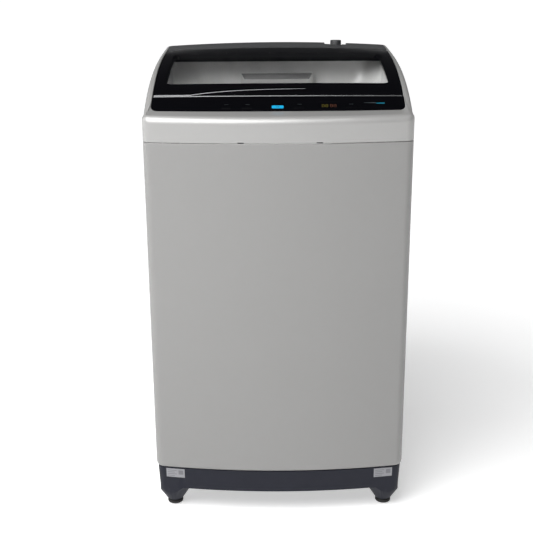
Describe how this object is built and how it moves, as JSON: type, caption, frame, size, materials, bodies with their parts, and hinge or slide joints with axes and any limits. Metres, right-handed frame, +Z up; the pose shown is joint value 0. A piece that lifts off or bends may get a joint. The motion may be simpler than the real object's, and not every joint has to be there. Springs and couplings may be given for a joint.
{
  "type": "top load washing machine",
  "caption": "Free-standing top load washing machine with bowed silver cabinet, black control panel, hinged glass lid, detergent drawer, spinning drum, pulsator and belt drive.",
  "frame": {"origin": "on the floor, under the middle of the machine's bounding box", "axes": "+Z up, the front faces -Y, +X to the right of someone facing the front"},
  "size_m": [0.52, 0.54, 0.948],
  "materials": {
    "silver_paint": "satin silver paint with fine flake",
    "galvanised_steel": "satin zinc coat",
    "black_rubber": "matt",
    "slate_plastic": "fine texture",
    "dark_plastic": "fine texture",
    "silver_plastic": "silver painted, satin",
    "grey_plastic": "satin",
    "black_gloss": "high gloss",
    "potting": "satin resin",
    "blue_key": "gloss, lit look",
    "plated_steel": "zinc plated",
    "tinted_glass": "polished, smoke tint",
    "bright_trim": "polished",
    "white_plastic": "satin",
    "tub_plastic": "satin, slightly translucent look",
    "cast_aluminium": "cast, satin",
    "motor_paint": "satin",
    "stainless_steel": "bright"
  },
  "bodies": {
    "cabinet": {"cabinet_shell": "silver_paint", "rear_panel": "galvanised_steel", "cord_gland": "black_rubber", "base_frame": "slate_plastic", "drain_outlet": "dark_plastic", "foot_rear_left": "black_rubber", "foot_rear_right": "black_rubber", "top_cover": "silver_plastic", "well_liner": "grey_plastic", "control_panel": "black_gloss", "display_window": "black_gloss", "control_board": "potting", "rear_deck": "dark_plastic", "hinge_pin_left": "plated_steel", "hinge_pin_right": "plated_steel", "dispenser_housing": "grey_plastic", "inlet_valve": "dark_plastic", "water_duct": "white_plastic", "pressure_sensor": "white_plastic", "hanger_rod_front_left": "plated_steel", "hanger_rod_rear_left": "plated_steel", "hanger_rod_front_right": "plated_steel", "hanger_rod_rear_right": "plated_steel"},
    "wash_unit": {"outer_tub": "tub_plastic", "tub_cover": "tub_plastic", "mount_plate": "galvanised_steel", "gearcase": "cast_aluminium", "drive_motor": "motor_paint", "capacitor": "cast_aluminium", "drain_valve": "white_plastic", "drive_belt": "black_rubber", "damper_cup_front_left": "dark_plastic", "damper_cup_rear_left": "dark_plastic", "damper_cup_front_right": "dark_plastic", "damper_cup_rear_right": "dark_plastic"},
    "drum": {"wash_drum": "stainless_steel", "drum_hub": "cast_aluminium", "drum_base": "grey_plastic", "balance_ring": "tub_plastic", "lint_filter_left": "grey_plastic", "lint_filter_right": "grey_plastic", "drum_shaft": "plated_steel"},
    "pulsator": {"pulsator": "grey_plastic", "pulsator_cap": "grey_plastic", "pulsator_shaft": "plated_steel"},
    "input_pulley": {"drive_pulley": "cast_aluminium"},
    "rotor": {"motor_rotor": "plated_steel"},
    "lid": {"lid_frame": "black_gloss", "lid_glass": "tinted_glass", "lid_trim": "bright_trim"},
    "drawer": {"detergent_drawer": "silver_plastic"},
    "left_foot": {"foot_front_left": "black_rubber"},
    "right_foot": {"foot_front_right": "black_rubber"},
    "process_button": {"process_key": "black_gloss"},
    "power_button": {"power_key": "black_gloss"},
    "start_button": {"start_key": "blue_key"},
    "program_button": {"program_key": "black_gloss"},
    "level_button": {"level_key": "black_gloss"}
  },
  "joints": [
    {"name": "tub_suspension", "type": "slide", "parent": "cabinet", "child": "wash_unit", "axis": [0, 0, 1], "range_m": [-0.02, 0.01], "stiffness_N_per_m": 12000, "springref_m": 0.01485},
    {"name": "drum_spin", "type": "hinge", "parent": "wash_unit", "child": "drum", "pos_m": [0, 0.005, 0.5], "axis": [0, 0, 1], "continuous": true},
    {"name": "pulsator_spin", "type": "hinge", "parent": "drum", "child": "pulsator", "pos_m": [0, 0.005, 0.31], "axis": [0, 0, 1], "continuous": true},
    {"name": "pulley_spin", "type": "hinge", "parent": "wash_unit", "child": "input_pulley", "pos_m": [0, 0.005, 0.121], "axis": [0, 0, 1], "continuous": true},
    {"name": "rotor_spin", "type": "hinge", "parent": "wash_unit", "child": "rotor", "pos_m": [-0.15, 0.005, 0.121], "axis": [0, 0, 1], "continuous": true},
    {"name": "lid_hinge", "type": "hinge", "parent": "cabinet", "child": "lid", "pos_m": [0, 0.172, 0.918], "axis": [-1, 0, 0], "range_deg": [0, 95]},
    {"name": "drawer_slide", "type": "slide", "parent": "cabinet", "child": "drawer", "axis": [0, -1, 0], "range_m": [0, 0.085]},
    {"name": "front_left_levelling", "type": "slide", "parent": "cabinet", "child": "left_foot", "axis": [0, 0, 1], "range_m": [-0.01, 0.001]},
    {"name": "front_right_levelling", "type": "slide", "parent": "cabinet", "child": "right_foot", "axis": [0, 0, 1], "range_m": [-0.01, 0.001]},
    {"name": "process_press", "type": "slide", "parent": "cabinet", "child": "process_button", "axis": [0, 0.4907, -0.8713], "range_m": [0, 0.001], "stiffness_N_per_m": 1500},
    {"name": "power_press", "type": "slide", "parent": "cabinet", "child": "power_button", "axis": [0, 0.4907, -0.8713], "range_m": [0, 0.001], "stiffness_N_per_m": 1500},
    {"name": "start_press", "type": "slide", "parent": "cabinet", "child": "start_button", "axis": [0, 0.4907, -0.8713], "range_m": [0, 0.001], "stiffness_N_per_m": 1500},
    {"name": "program_press", "type": "slide", "parent": "cabinet", "child": "program_button", "axis": [0, 0.4907, -0.8713], "range_m": [0, 0.001], "stiffness_N_per_m": 1500},
    {"name": "level_press", "type": "slide", "parent": "cabinet", "child": "level_button", "axis": [0, 0.4907, -0.8713], "range_m": [0, 0.001], "stiffness_N_per_m": 1500}
  ],
  "couplings": [
    {"joint": "pulley_spin", "follows": "pulsator_spin", "ratio": 5},
    {"joint": "rotor_spin", "follows": "pulsator_spin", "ratio": 10}
  ]
}
